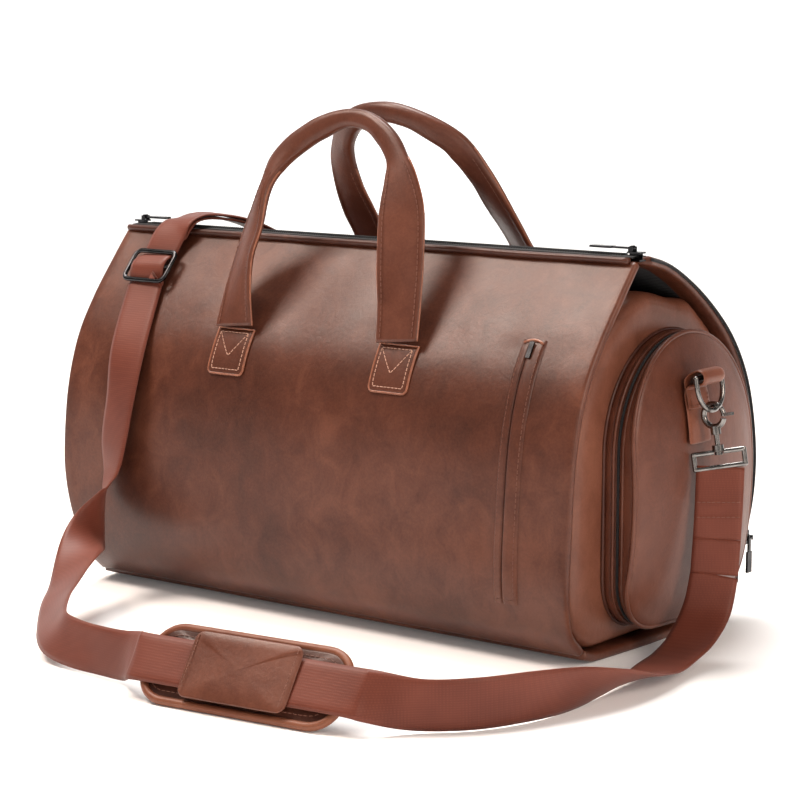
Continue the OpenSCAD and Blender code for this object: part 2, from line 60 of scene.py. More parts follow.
# ---------------------------------------------------------------- shapes
def curve(points, n):
    """A smooth line through the points, with n steps between each two."""
    p = [tuple(q) for q in points]
    out = []
    for i in range(len(p) - 1):
        a, b = p[max(i - 1, 0)], p[i]
        c, d = p[i + 1], p[min(i + 2, len(p) - 1)]
        for k in range(n):
            t = k / n
            out.append(tuple(
                b[j] + (c[j] - a[j]) * t / 2
                + (2 * a[j] - 5 * b[j] + 4 * c[j] - d[j]) * t * t / 2
                + (3 * b[j] - a[j] - 3 * c[j] + d[j]) * t * t * t / 2
                for j in range(len(b))))
    out.append(p[-1])
    return out


def even(points, step):
    """Points along a polyline, a step apart."""
    pts = [Vector(p) for p in points]
    total = sum((b - a).length for a, b in zip(pts, pts[1:]))
    n = max(1, round(total / step))
    out, i, gone = [pts[0]], 0, 0.0
    for k in range(1, n):
        want = total * k / n
        while gone + (pts[i + 1] - pts[i]).length < want:
            gone += (pts[i + 1] - pts[i]).length
            i += 1
        out.append(pts[i].lerp(pts[i + 1], (want - gone) / (pts[i + 1] - pts[i]).length))
    return out + [pts[-1]]


def piece(name, verts, faces, mats, body, which=None):
    """A mesh piece from points in millimetres, riding on a body (None: placed later)."""
    mesh = bpy.data.meshes.new(name)
    mesh.from_pydata([[c * MM for c in v] for v in verts], [], faces)
    for m in mats:
        mesh.materials.append(m)
    if which:
        for poly, m in zip(mesh.polygons, which):
            poly.material_index = m
    for poly in mesh.polygons:
        poly.use_smooth = True
    mesh.validate()
    obj = bpy.data.objects.new(name, mesh)
    scene.collection.objects.link(obj)
    if body:
        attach(obj, body)
    return obj


def grid_faces(rows, cols, around=False, along=False, start=0):
    """Quads over rows of cols points; around closes each row, along closes the rows."""
    out = []
    for i in range(rows if along else rows - 1):
        for j in range(cols if around else cols - 1):
            a, b = start + i * cols + j, start + i * cols + (j + 1) % cols
            n = (i + 1) % rows
            c, d = start + n * cols + (j + 1) % cols, start + n * cols + j
            out.append((a, b, c, d))
    return out


def closed_faces(rows, cols):
    """Quads round rows of cols points, with a face over the first row and over the last."""
    ends = [tuple(reversed(range(cols))), tuple(range(cols * (rows - 1), cols * rows))]
    return grid_faces(rows, cols, around=True) + ends


def flipped(faces):
    return [tuple(reversed(f)) for f in faces]


def heading(points, i):
    """The direction of a line of points at its point i."""
    return (points[min(i + 1, len(points) - 1)] - points[max(i - 1, 0)]).normalized()


def axes_at(points, i, across):
    """At point i of a band: its direction, its width direction and the way its face looks."""
    ahead = heading(points, i)
    across = (across - across.dot(ahead) * ahead).normalized()
    return ahead, across, ahead.cross(across)


def tube(path, r, sides=8):
    """Points and faces of a round tube with closed ends."""
    pts = [Vector(p) for p in path]
    verts, side = [], None
    for i, p in enumerate(pts):
        t = heading(pts, i)
        if side is None:
            side = t.orthogonal().normalized()
        side = (side - side.dot(t) * t).normalized()
        up = t.cross(side)
        for k in range(sides):
            a = 2 * math.pi * k / sides
            verts.append(p + r * (math.cos(a) * side + math.sin(a) * up))
    return verts, closed_faces(len(pts), sides)


def rounded(long, wide, r, inside=0.0, step=10):
    """A rounded rectangle's outline, with its corner arcs some millimetres inside."""
    out = []
    for sx, sz, first in ((1, 1, 0), (-1, 1, 90), (-1, -1, 180), (1, -1, 270)):
        for a in range(first, first + 91, step):
            t = math.radians(a)
            out.append((sx * (long / 2 - r) + (r - inside) * math.cos(t),
                        sz * (wide / 2 - r) + (r - inside) * math.sin(t)))
    return out


def joined(parts):
    """Several (verts, faces) as one."""
    verts, faces = [], []
    for v, f in parts:
        n = len(verts)
        verts += v
        faces += [tuple(n + i for i in q) for q in f]
    return verts, faces


def stitches(lines, long=3.0, gap=1.4, r=0.38):
    """Thread stitches along lines that already lie on the surface."""
    parts = []
    for line in lines:
        pts = even(line, long + gap)
        for a, b in zip(pts, pts[1:]):
            d = (b - a).normalized()
            start, end = a + d * gap / 2, b - d * gap / 2
            parts.append(tube([start, a + d * (gap / 2 + 0.5), b - d * (gap / 2 + 0.5), end], r, 6))
    return joined(parts)


def subdivide(obj):
    """Smooth a mesh by one level of subdivision, kept in the mesh."""
    mod = obj.modifiers.new("smooth", "SUBSURF")
    mod.levels = mod.render_levels = 1
    bpy.context.view_layer.update()
    graph = bpy.context.evaluated_depsgraph_get()
    mesh = bpy.data.meshes.new_from_object(obj.evaluated_get(graph))
    obj.modifiers.clear()
    obj.data = mesh


PUFF_FRAMES = 20


def puff(obj, pressure, cap):
    """Inflate a closed mesh as cloth, with no point moving more than cap (mm)."""
    before = [v.co.copy() for v in obj.data.vertices]
    mod = obj.modifiers.new("cloth", "CLOTH")
    s = mod.settings
    s.quality = 5
    s.mass = 0.3
    s.tension_stiffness = s.compression_stiffness = 12
    s.shear_stiffness = 5
    s.bending_stiffness = 1.2
    s.use_pressure = True
    s.uniform_pressure_force = pressure
    s.effector_weights.gravity = 0
    mod.point_cache.frame_start, mod.point_cache.frame_end = 1, PUFF_FRAMES
    for f in range(1, PUFF_FRAMES + 1):
        scene.frame_set(f)
    graph = bpy.context.evaluated_depsgraph_get()
    after = obj.evaluated_get(graph).data
    moved = [v.co.copy() for v in after.vertices]
    obj.modifiers.clear()
    for v, a, b in zip(obj.data.vertices, before, moved):
        d = b - a
        far = d.length / MM
        v.co = a + d * (math.tanh(far / cap) * cap / far if far > 1e-6 else 0)
    scene.frame_set(1)
    obj.data.update()


def ripple(p, size, seed=0.0):
    """Smooth noise from -1 to 1 at a point in millimetres."""
    return noise.noise(Vector(p) / size + Vector((seed, 3.1 * seed, -seed)))


# ---------------------------------------------------------------- materials
class Nodes:
    """A material's node tree, built step by step and handed over by done()."""
    def __init__(self, name):
        self.mat = bpy.data.materials.new(name)
        self.mat.use_nodes = True
        self.tree = self.mat.node_tree
        self.shader = self.tree.nodes["Principled BSDF"]
        self.place = self.add("ShaderNodeTexCoord").outputs["Object"]

    def add(self, kind, **values):
        """A node, with its inputs and its settings given by name."""
        node = self.tree.nodes.new(kind)
        for key, value in values.items():
            if key in node.inputs:
                self.put(value, node.inputs[key])
            else:
                setattr(node, key, value)
        return node

    def put(self, value, socket):
        if hasattr(value, "is_output"):
            self.tree.links.new(value, socket)
        else:
            socket.default_value = value

    def noise(self, scale, detail=4.0, rough=0.55, place=None, distort=0.0):
        n = self.add("ShaderNodeTexNoise", Scale=scale, Detail=detail, Roughness=rough,
                     Distortion=distort, Vector=place or self.place)
        return n.outputs["Fac"]

    def cells(self, scale):
        n = self.add("ShaderNodeTexVoronoi", feature="DISTANCE_TO_EDGE", Scale=scale, Vector=self.place)
        return n.outputs["Distance"]

    def waves(self, scale, axis):
        n = self.add("ShaderNodeTexWave", wave_type="BANDS", bands_direction=axis, Scale=scale,
                     Distortion=0.6, Vector=self.place)
        return n.outputs["Fac"]

    def ramp(self, fac, stops):
        n = self.add("ShaderNodeValToRGB", Fac=fac)
        e = n.color_ramp.elements
        while len(e) < len(stops):
            e.new(0.5)
        for el, (at, colour) in zip(e, stops):
            el.position = at
            el.color = (*colour, 1)
        return n.outputs["Color"]

    def calc(self, op, a, b):
        n = self.add("ShaderNodeMath", operation=op)
        self.put(a, n.inputs[0])
        self.put(b, n.inputs[1])
        return n.outputs[0]

    def scaled(self, x, y, z, turn):
        n = self.add("ShaderNodeMapping", Vector=self.place, Scale=(x, y, z), Rotation=turn)
        return n.outputs["Vector"]

    def mix(self, fac, a, b):
        n = self.add("ShaderNodeMix", data_type="RGBA")
        for at, value in ((0, fac), (6, a), (7, b)):
            self.put(value, n.inputs[at])
        return n.outputs[2]

    def bump(self, height, strength, distance, under=None):
        n = self.add("ShaderNodeBump", Strength=strength, Distance=distance, Height=height)
        if under:
            self.put(under, n.inputs["Normal"])
        return n.outputs["Normal"]

    def done(self, colour, rough, normal, metal=0.0, **more):
        sockets = self.shader.inputs
        self.put(colour, sockets["Base Color"])
        self.put(rough, sockets["Roughness"])
        self.put(normal, sockets["Normal"])
        self.put(metal, sockets["Metallic"])
        for key, value in more.items():
            self.put(value, sockets[key.replace("_", " ")])
        return self.mat


def leather(name, dark, mid, light, rough=0.38, coat=0.10):
    """Synthetic leather: cloudy colour, fine specks, pores and soft creases."""
    n = Nodes(name)
    big = n.noise(6.5, 3.0, 0.5, distort=0.4)
    small = n.noise(42, 6.0, 0.62, n.scaled(1, 1.3, 0.8, (0.5, 0.2, 0)), 0.8)
    both = n.calc("ADD", n.calc("MULTIPLY", big, 0.62), n.calc("MULTIPLY", small, 0.38))
    colour = n.ramp(both, [(0.36, dark), (0.5, mid), (0.63, light)])
    speck = n.noise(520, 2.0, 0.5)
    colour = n.mix(0.16, colour, n.ramp(speck, [(0.35, dark), (0.65, light)]))
    pores = n.calc("MINIMUM", n.cells(1150), 0.28)
    crease = n.noise(110, 5.0, 0.6, distort=1.2)
    normal = n.bump(pores, 0.25, 0.0005)
    normal = n.bump(crease, 0.14, 0.0016, normal)
    normal = n.bump(n.noise(24, 2.0), 0.10, 0.005, normal)
    uneven = n.calc("ADD", rough - 0.07, n.calc("MULTIPLY", n.noise(30, 4.0), 0.16))
    return n.done(colour, uneven, normal, Coat_Weight=coat, Coat_Roughness=0.28,
                  Specular_IOR_Level=0.28)


LEATHER = leather("leather", (0.046, 0.012, 0.0055), (0.084, 0.024, 0.012), (0.145, 0.048, 0.026))
LEATHER_END = leather("leather_end",
                      (0.062, 0.017, 0.008), (0.100, 0.030, 0.016), (0.145, 0.048, 0.027))
# A lighter copy of the end leather for the right end panel: painted light that lifts the panel where the
# front wrap shades it.
LEATHER_PAINTED_LIGHT = leather("leather_painted_light",
                        (0.090, 0.029, 0.015), (0.145, 0.050, 0.029), (0.20, 0.076, 0.046))
LEATHER_DEEP = leather("leather_deep",
                       (0.030, 0.008, 0.004), (0.052, 0.014, 0.008), (0.080, 0.025, 0.014))
LEATHER_INNER = leather("leather_inner",
                        (0.12, 0.034, 0.016), (0.17, 0.052, 0.026), (0.22, 0.078, 0.040), 0.45, 0.05)


def plain(name, low, high, rough, scale=300.0, strength=0.2, depth=0.0004, metal=0.0, **more):
    """A smooth material whose colour and gloss vary a little."""
    n = Nodes(name)
    f = n.noise(scale, 3.0)
    uneven = n.calc("ADD", rough - 0.05, n.calc("MULTIPLY", n.noise(scale * 0.3), 0.1))
    return n.done(n.ramp(f, [(0.35, low), (0.65, high)]), uneven, n.bump(f, strength, depth), metal, **more)


EDGE = plain("edge_paint", (0.22, 0.072, 0.036), (0.30, 0.11, 0.058), 0.36, 260, 0.15)
THREAD = plain("thread", (0.12, 0.042, 0.024), (0.19, 0.072, 0.044), 0.6, 2500, 0.5)
THREAD_LIGHT = plain("thread_light", (0.42, 0.22, 0.15), (0.55, 0.32, 0.23), 0.5, 2500, 0.5)
NICKEL = plain("nickel", (0.16, 0.153, 0.147), (0.25, 0.24, 0.23), 0.26, 140, 0.04, 0.0003, 1.0)
GUNMETAL = plain("gunmetal", (0.028, 0.028, 0.030), (0.055, 0.055, 0.058), 0.26, 140, 0.05, 0.0003, 1.0)
PLASTIC = plain("black_plastic", (0.010, 0.010, 0.011), (0.018, 0.018, 0.019), 0.42, 900, 0.12)
BOARD = plain("board", (0.03, 0.03, 0.03), (0.05, 0.05, 0.05), 0.7, 400, 0.2)


def weave(name, low, high, rough, pitch, strength=0.5):
    """Woven cloth with threads a pitch (mm) apart."""
    n = Nodes(name)
    x, y, z = (n.waves(1000 / pitch / 6.28, axis) for axis in ("X", "Y", "Z"))
    threads = n.calc("MULTIPLY", n.calc("ADD", x, y), z)
    tone = n.calc("ADD", n.calc("MULTIPLY", n.noise(14, 3.0), 0.9), n.calc("MULTIPLY", threads, 0.09))
    return n.done(n.ramp(tone, [(0.32, low), (0.66, high)]), rough,
                  n.bump(threads, strength, 0.0005), 0.0, Sheen_Weight=0.05, Specular_IOR_Level=0.25)


WEB = weave("webbing", (0.105, 0.023, 0.012), (0.155, 0.038, 0.021), 0.5, 0.9, strength=0.06)
CLOTH = weave("lining_cloth", (0.006, 0.006, 0.007), (0.016, 0.016, 0.018), 0.6, 0.8)
TAPE = weave("zip_tape", (0.008, 0.008, 0.009), (0.020, 0.020, 0.022), 0.65, 1.0)

# ---------------------------------------------------------------- the strap
BAND_W, BAND_T = 38.0, 2.4
PAD_AT, PAD_LEAN, PAD_YAW = (146, -370, 30), 37, 6
HANG_X, HANG_Y, HANG_Z, LEAN = (316, -290), -7, 222, math.radians(10)
BAR_LOW = -76


def on_chain(side, x, y, z):
    """A point given along the hanging hardware: out from the bag, forward, and up."""
    s = 1 if side == "right" else -1
    at = HANG_X[0] if side == "right" else HANG_X[1]
    return (at + s * (x * math.cos(LEAN) - z * math.sin(LEAN)), HANG_Y + y,
            HANG_Z + x * math.sin(LEAN) + z * math.cos(LEAN))


# The strap's routes: x, y, z at each point, and the direction across the band there
FRONT_ROUTE = [
    (-210, -97, 264, 1, 0.1, 0.05), (-199, -129, 217, 1, 0.1, 0.05),
    (-195, -144, 175, 1, -0.1, 0.1), (-198, -150, 138, 1, -0.2, 0.1),
    (-199, -153, 112, 0.9, -0.4, 0.15)]
FLOOR_ROUTE = [
    (-200, -158, 98, 0.8, -0.55, 0.25), (-198, -166, 84, 0.5, -0.7, 0.5),
    (-190, -190, 64, -0.2, -0.85, 0.5), (-168, -225, 52, -0.8, -0.4, 0),
    (-144, -260, 42, -0.85, -0.3, -0.4), (-124, -290, 36, -0.8, -0.3, -0.5),
    (-105, -315, 31, -0.7, -0.3, -0.65), (-84, -338, 26, -0.6, -0.3, -0.75),
    (-64, -352, 23, -0.45, -0.25, -0.85), (-38, -358, 21, -0.25, -0.2, -0.95),
    (-10, -360, 20.5, -0.1, -0.1, -1), (20, -364, 22, 0, -0.2, -1),
    (40, -373, 27, 0.03, -0.45, -0.9)]
PAD_ROUTE = [(x, y, 30, 0.06, -0.6, -0.8) for x, y in ((58, -379), (146, -370), (234, -361))]
END_ROUTE = [
    PAD_ROUTE[2], (252, -355, 28, 0.04, -0.45, -0.9), (278, -332, 21, 0, 0, -1),
    (306, -302, 20, 0, 0, -1), (326, -262, 20, -0.1, 0, -1), (336, -222, 18, -0.3, 0.1, -0.9),
    (341, -180, 14, -0.7, 0.1, -0.7), (340, -140, 10, -0.95, 0.1, -0.3),
    (335, -106, 9, -1, 0, 0), (332, -76, 12, -1, -0.1, 0),
    (331, -50, 21, -0.95, -0.3, 0), (330, -26, 40, -0.85, -0.5, 0),
    (330, -16, 66, -0.8, -0.6, 0), (330, -13, 94, -0.79, -0.61, 0),
    (330, -11, 120, -0.79, -0.61, 0)]
TOP_ROUTE = [
    (-209, -61, 313, 1, 0.05, 0.05), (-203, -48, 324, 0.95, -0.2, 0.1),
    (-197, -22, 327, 0.9, -0.3, 0), (-180, 6, 320, 0.9, -0.3, 0),
    (-162, 34, 303, 0.95, -0.2, 0), (-156, 75, 284, 1, 0, 0),
    (-166, 122, 238, 0.95, 0, -0.2), (-188, 152, 192, 0.8, 0, -0.5),
    (-226, 166, 156, 0.5, 0, -0.8), (-268, 160, 130, 0.2, 0, -1),
    (-304, 132, 114, 0, 0, -1), (-322, 92, 106, 0, -0.1, -1),
    (-324, 52, 108, 0, -0.3, -0.9), (-314, 18, 122, -0.3, -0.7, -0.6)]


def ribbon(route, n=6, w=BAND_W, t=BAND_T, lift=0.0):
    """A flat band along a route of points and width directions; lift shifts it off its face."""
    stations = curve(route, n)
    line = [Vector(s[:3]) for s in stations]
    verts, path = [], []
    steps = [k / 5 for k in range(-5, 6)]
    for i, s in enumerate(stations):
        _, across, out = axes_at(line, i, Vector(s[3:6]))
        centre = line[i] + lift * out
        path.append(centre)
        for f, sign in [(x, 1) for x in steps] + [(x, -1) for x in reversed(steps)]:
            thin = 0.35 if abs(f) == 1 else 1
            verts.append(centre + across * (f * w / 2) + out * (sign * t / 2 * thin))
    return verts, closed_faces(len(stations), 2 * len(steps)), path


RING_R = on_chain("right", 0, 0, BAR_LOW + 4)
RING_L = on_chain("left", 0, 0, BAR_LOW + 4)
GLIDE, GLIDE_TILT = Vector((-213, -86, 284)), math.radians(40)
GLIDE_DOWN = Vector((0, -math.sin(GLIDE_TILT), -math.cos(GLIDE_TILT)))
GLIDE_OUT = Vector((0, -math.cos(GLIDE_TILT), math.sin(GLIDE_TILT)))


def on_glide(x, down, out):
    """A point given from the tri-glide's middle: along its bar, down it and out from it."""
    return tuple(GLIDE + Vector((x, 0, 0)) + down * GLIDE_DOWN + out * GLIDE_OUT)


def strap_piece(name, bands, rides, nodes=()):
    """A length of webbing that rides on a body, or, when rides is not a body's name, stays fixed where it
    lies.
    """
    verts, faces = joined([band[:2] for band in bands])
    obj = piece(name, verts, faces, [WEB], None)
    if isinstance(rides, str):
        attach(obj, rides)
    else:
        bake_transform(obj)
    if nodes:
        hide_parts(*nodes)
    return obj


# over the top and down the back, with the second layer that comes back from the tri-glide
UNDER, UNDER_W = 3.2, BAND_W - 0.6
route = [(*on_glide(0, -15, -4.6), 1, 0.05, 0.05)] + TOP_ROUTE[:7]
over, under = ribbon(route), ribbon(route[1:], lift=UNDER, w=UNDER_W)
strap_top = strap_piece("strap_over_top", [over, under],
                        ("front_wing", "bag", (-206, -52, 318), (-180, 6, 319)),
                        ("strap_top", "strap_return"))
route = TOP_ROUTE[6:]
over, under = ribbon(route), ribbon(route[:-2], lift=UNDER, w=UNDER_W)
strap_back = strap_piece("strap_round_back", [over, under],
                         ("bag", "d_ring_left", (-322, 70, 106), (-314, 18, 122)))
strap_piece("strap_end_left", [ribbon([TOP_ROUTE[-1], (*RING_L, -0.62, -0.79, 0)])], "strap_ring_left")

# through the tri-glide, down the front and along the floor to the pad
THROUGH_GLIDE = [(*on_glide(x, down, out), 1, tip, 0.05) for x, down, out, tip in (
    (0, -14, -3.6, 0.05), (0, -7, 1.2, 0.05), (1, 0, 3.5, 0.05), (1, 7, 1.2, 0.05), (2, 15, -4.2, 0.07))]
front = ribbon(THROUGH_GLIDE + FRONT_ROUTE + FLOOR_ROUTE + PAD_ROUTE[:2])
strap_front = strap_piece("strap_front_to_pad", [front],
                          ("front_wing", "bag", (-198, -150, 138), (-150, -255, 45)), ("strap_front",))

# from the pad to the right end, in three pieces: up to the ring, on to the hook, and round the strap ring
run = ribbon(PAD_ROUTE[1:2] + END_ROUTE[:-2])
strap_run = strap_piece("strap_pad_to_end", [run],
                        ("bag", "d_ring_right", (331, -50, 21), (330, -17, 62)), ("strap_floor",))
strap_piece("strap_end_right_rise", [ribbon(END_ROUTE[-3:-1])],
            ("d_ring_right", "snap_hook_right", (330, -16, 66), (330, -13, 94)))
TAIL_TIP = (*RING_R, -0.79, -0.61, 0)
fold_start = Vector(END_ROUTE[-1][:3]) + Vector((0, 0, 4))
fold = ribbon([(*fold_start, -0.79, -0.61, 0), TAIL_TIP], lift=-2.3, w=UNDER_W)
strap_piece("strap_end_right_fold", [ribbon(END_ROUTE[-2:] + [TAIL_TIP]), fold],
            ("snap_hook_right", "strap_ring_right", (330, -13, 94), (330, -11, 110)), ("strap_end_right",))

# ---------------------------------------------------------------- the wrap
HALF = 275.0
# The wrap's section as (y, z): down the front, and under the bottom and up the back
FRONT = curve([(-49, 314), (-71, 288), (-98, 254), (-120, 217), (-134, 168),
               (-140, 100), (-139, 56), (-131, 26), (-114, 8)], 7)
FLAT = [(-80 + 7.5 * k, 0) for k in range(12)]
BACK = curve([(-111, 5.6), (-97, 1), (-80, 0)], 4)[:-1] + FLAT + curve(
    [(10, 0), (36, 5), (64, 17), (100, 36), (126, 62), (140, 95), (144, 132),
     (138, 172), (125, 208), (102, 241), (72, 268), (38, 291), (2, 309), (-28, 317)], 6)


def normals(line):
    """The outward normal at each point of a section line."""
    out = []
    for i in range(len(line)):
        a, b = line[max(i - 1, 0)], line[min(i + 1, len(line) - 1)]
        t = Vector((b[0] - a[0], b[1] - a[1])).normalized()
        out.append(Vector((t[1], -t[0])))
    return out


FRONT_N, BACK_N = normals(FRONT), normals(BACK)


def at_height(line, norm, z, off):
    """The (y, z) of a section line at a height, moved out by off along the line's normal."""
    for (a, b, na, nb) in zip(line, line[1:], norm, norm[1:]):
        if min(a[1], b[1]) <= z <= max(a[1], b[1]):
            f = (z - a[1]) / (b[1] - a[1])
            n = na.lerp(nb, f).normalized()
            return a[0] + (b[0] - a[0]) * f + off * n[0], z + off * n[1]
    raise ValueError(z)


def front_at(z, off=0.0):
    return at_height(FRONT, FRONT_N, z, off)


def back_at(z, off=0.0):
    return at_height(BACK[16:], BACK_N[16:], z, off)


def tuck(x, y, z):
    """How far the wrap's ends are drawn in towards the lower front corners."""
    low = min(1, max(0, (115 - z) / 90))
    near_front = min(1, max(0, (-20 - y) / 70))
    end = min(1, max(0, (abs(x) - 195) / 80))
    return (22 if x < 0 else -5) * low ** 1.5 * near_front * end ** 1.5


THICK, ROLL = 7.6, 3.4


def rolled_edge(side):
    """The (x, depth) of the rolled edge at one end of the wrap, from one face round to the other."""
    turn = [math.radians(a) for a in range(30, 151, 30)]
    return [(side * (HALF - ROLL + ROLL * math.sin(a)), (side * math.cos(a) - 1) * THICK / 2) for a in turn]


def wrap(line, norm, sag):
    """A padded panel: outer face, rolled edges and a lining face, closed all round."""
    cols = 74
    xs = [-HALF + ROLL + 2 * (HALF - ROLL) * k / (cols - 1) for k in range(cols)]
    ring = [(x, 0.0) for x in xs] + rolled_edge(1) + [(x, -THICK) for x in reversed(xs)] + rolled_edge(-1)
    verts = []
    for (y, z), n in zip(line, norm):
        for x, d in ring:
            near = max(0.0, 1 - (HALF - abs(x)) / 26)
            soft = sag(x, y, z) * (1 - near ** 2)
            off = d + (soft if d > -THICK / 2 else soft * 0.6)
            verts.append((x + tuck(x, y, z), y + off * n[0], z + off * n[1]))
    return verts, flipped(closed_faces(len(line), len(ring)))


def front_sag(x, y, z):
    """Waves, the dents under the zip by the handle, and the pull along the welt."""
    wave = 1.3 * ripple((x, y, z), 130, 2) + 0.5 * ripple((x, y * 0.5, z * 0.5), 38, 5)
    dent = -2.2 * math.exp(-((x + 40) / 46) ** 2 - ((z - 268) / 26) ** 2)
    dent += -1.6 * math.exp(-((x - 118) / 40) ** 2 - ((z - 262) / 24) ** 2)
    pull = -0.8 * math.exp(-((x - 196) / 8) ** 2) * (1 if 40 < z < 250 else 0)
    return wave + dent + pull - 0.6


def back_sag(x, y, z):
    """Waves that fade out towards the flat bottom."""
    wave = 1.3 * ripple((x, y, z), 120, 9) + 0.4 * ripple((x, y, z), 40, 4)
    return (wave - 0.6) * min(1, max(0, z / 14))


def lined(obj):
    """Black lining on the faces that look into the bag."""
    for p in obj.data.polygons:
        c = p.center / MM
        outward = Vector((0, c.y + 6, c.z - 150)).normalized()
        if p.normal.dot(outward) < -0.35 and abs(c.x) < HALF - 22:
            p.material_index = 1


wrap_front = piece("wrap_front", *wrap(FRONT, FRONT_N, front_sag), [LEATHER, CLOTH], None)
wrap_back = piece("wrap_back", *wrap(BACK, BACK_N, back_sag), [LEATHER, CLOTH], None)
for obj, body, nodes in ((wrap_front, "front_wing", ("front_wrap", "front_lining")),
                         (wrap_back, "bag", ("back_wrap", "back_lining"))):
    lined(obj)
    puff(obj, 0.6, 1.2)
    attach(obj, body)
    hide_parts(*nodes)


# ---------------------------------------------------------------- handles
HANDLE_X, HANDLE_W, LEG_T = 88, 40, 5
# The handles' routes: x, y, z, the direction across, the width and the thickness
FRONT_HANDLE = [
    (-HANDLE_X, -114, 242, -1, 0, 0, HANDLE_W, LEG_T), (-90, -107, 270, -0.9, 0.25, 0, HANDLE_W - 2, LEG_T),
    (-90, -98, 300, -0.8, 0.42, 0, 36, 6), (-86, -90, 325, -0.8, 0.42, 0.1, 31, 6),
    (-81, -80, 358, -0.8, 0.45, 0.3, 14, 9), (-74, -70, 380, -0.7, 0.4, 0.6, 21, 10),
    (-58, -62, 397, -0.5, 0.2, 0.9, 20, 12), (-36, -57, 410, -0.3, 0.2, 1, 19, 12),
    (-10, -54, 418, 0, 0.2, 1, 16, 12), (16, -57, 415, 0.2, 0.2, 1, 16, 12),
    (37, -62, 403, 0.6, 0.2, 0.8, 18, 11), (52, -68, 388, 0.8, 0.2, 0.6, 19, 10),
    (62, -76, 370, 0.9, 0.25, 0.3, 29, 8), (71, -86, 342, 0.95, 0.25, 0.1, HANDLE_W, 6),
    (79, -98, 302, 0.95, 0.25, 0, HANDLE_W, LEG_T), (85, -107, 268, 1, 0.1, 0, HANDLE_W, LEG_T),
    (HANDLE_X, -114, 242, 1, 0, 0, HANDLE_W, LEG_T)]
BACK_HANDLE = [
    (-HANDLE_X, 110, 242, -1, 0, 0, HANDLE_W, LEG_T), (-87, 99, 264, -1, 0, 0, HANDLE_W, LEG_T),
    (-84, 74, 298, -1, 0, 0.1, HANDLE_W - 2, 6), (-79, 45, 332, -1, 0, 0.1, HANDLE_W - 2, 6),
    (-77, 28, 357, -1, 0.1, 0.2, 36, 7), (-75, 18, 380, -0.9, 0.1, 0.4, 30, 9),
    (-64, 8, 402, -0.7, 0.1, 0.8, 24, 12), (-42, 0, 417, -0.3, -0.1, 1, 20, 14),
    (-10, -5, 422, 0, -0.1, 1, 18, 14), (14, -3, 418, 0.1, -0.1, 1, 18, 14),
    (34, 2, 409, 0.3, -0.1, 1, 20, 14), (53, 14, 394, 0.6, -0.1, 0.8, 22, 12),
    (65, 32, 368, 0.8, -0.3, 0.4, 26, 9), (72, 48, 342, 0.8, -0.4, 0.2, 34, 7),
    (78, 73, 308, 0.8, -0.4, 0, HANDLE_W - 2, 6), (85, 98, 268, 0.95, -0.2, 0, HANDLE_W, LEG_T),
    (HANDLE_X, 110, 242, 1, 0, 0, HANDLE_W, LEG_T)]


def handle(name, route, body, node, seed):
    """A handle whose flat legs turn into a rounder grip, with painted edges and stitching."""
    stations = curve(route, 7)
    line = [Vector(s[:3]) for s in stations]
    verts, frames, sides = [], [], 28
    for i, s in enumerate(stations):
        wide, thick = s[6:8]
        _, across, out = axes_at(line, i, Vector(s[3:6]))
        roundness = min(1.0, max(0.0, (thick - 6) / 9))
        power = 2 / (4.5 - 2.2 * roundness)
        uneven = 1 + 0.03 * ripple(line[i], 26, seed)
        frames.append((line[i], across, out, wide * uneven, thick))
        for k in range(sides):
            a = 2 * math.pi * k / sides
            c, d = math.cos(a), math.sin(a)
            u = math.copysign(abs(c) ** power, c) * wide / 2 * uneven
            v = math.copysign(abs(d) ** power, d) * thick / 2
            seam = math.exp(-(abs(u) / (wide / 2) - 0.72) ** 2 / 0.01)
            v -= 0.9 * (1 - roundness) * seam * (1 if d > 0 else -1)
            u += 0.5 * ripple(line[i] + Vector((u, 0, v)), 17, seed)
            verts.append(line[i] + u * across + v * out)
    obj = piece(name, verts, closed_faces(len(stations), sides), [LEATHER_END], body)
    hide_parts(node)
    edges, lines = [], []
    for s in (-1, 1):
        for leg in (frames[:34], frames[-34:]):
            edges.append(tube([p + s * across * (w / 2 - 0.3) for p, across, _, w, _ in leg], 0.95))
            for face in (-1, 1):
                lines.append([p + s * across * (w / 2 - 4.2) + face * out * (t / 2 + 0.1)
                              for p, across, out, w, t in leg[1:-1]])
    piece(name + "_edges", *joined(edges), [EDGE], body)
    piece(name + "_thread", *stitches(lines, 3.0, 1.6, 0.3), [THREAD], body)


handle("handle_front", FRONT_HANDLE, "front_handle", "front_handle", 3)
handle("handle_back", BACK_HANDLE, "back_handle", "back_handle", 8)


def even2(points, step):
    return [(p.x, p.y) for p in even([Vector((x, z, 0)) for x, z in points], step)]


PATCH_LOW, PATCH_HIGH, PATCH_R, PATCH_T = 201, 238.5, 5, 2.4


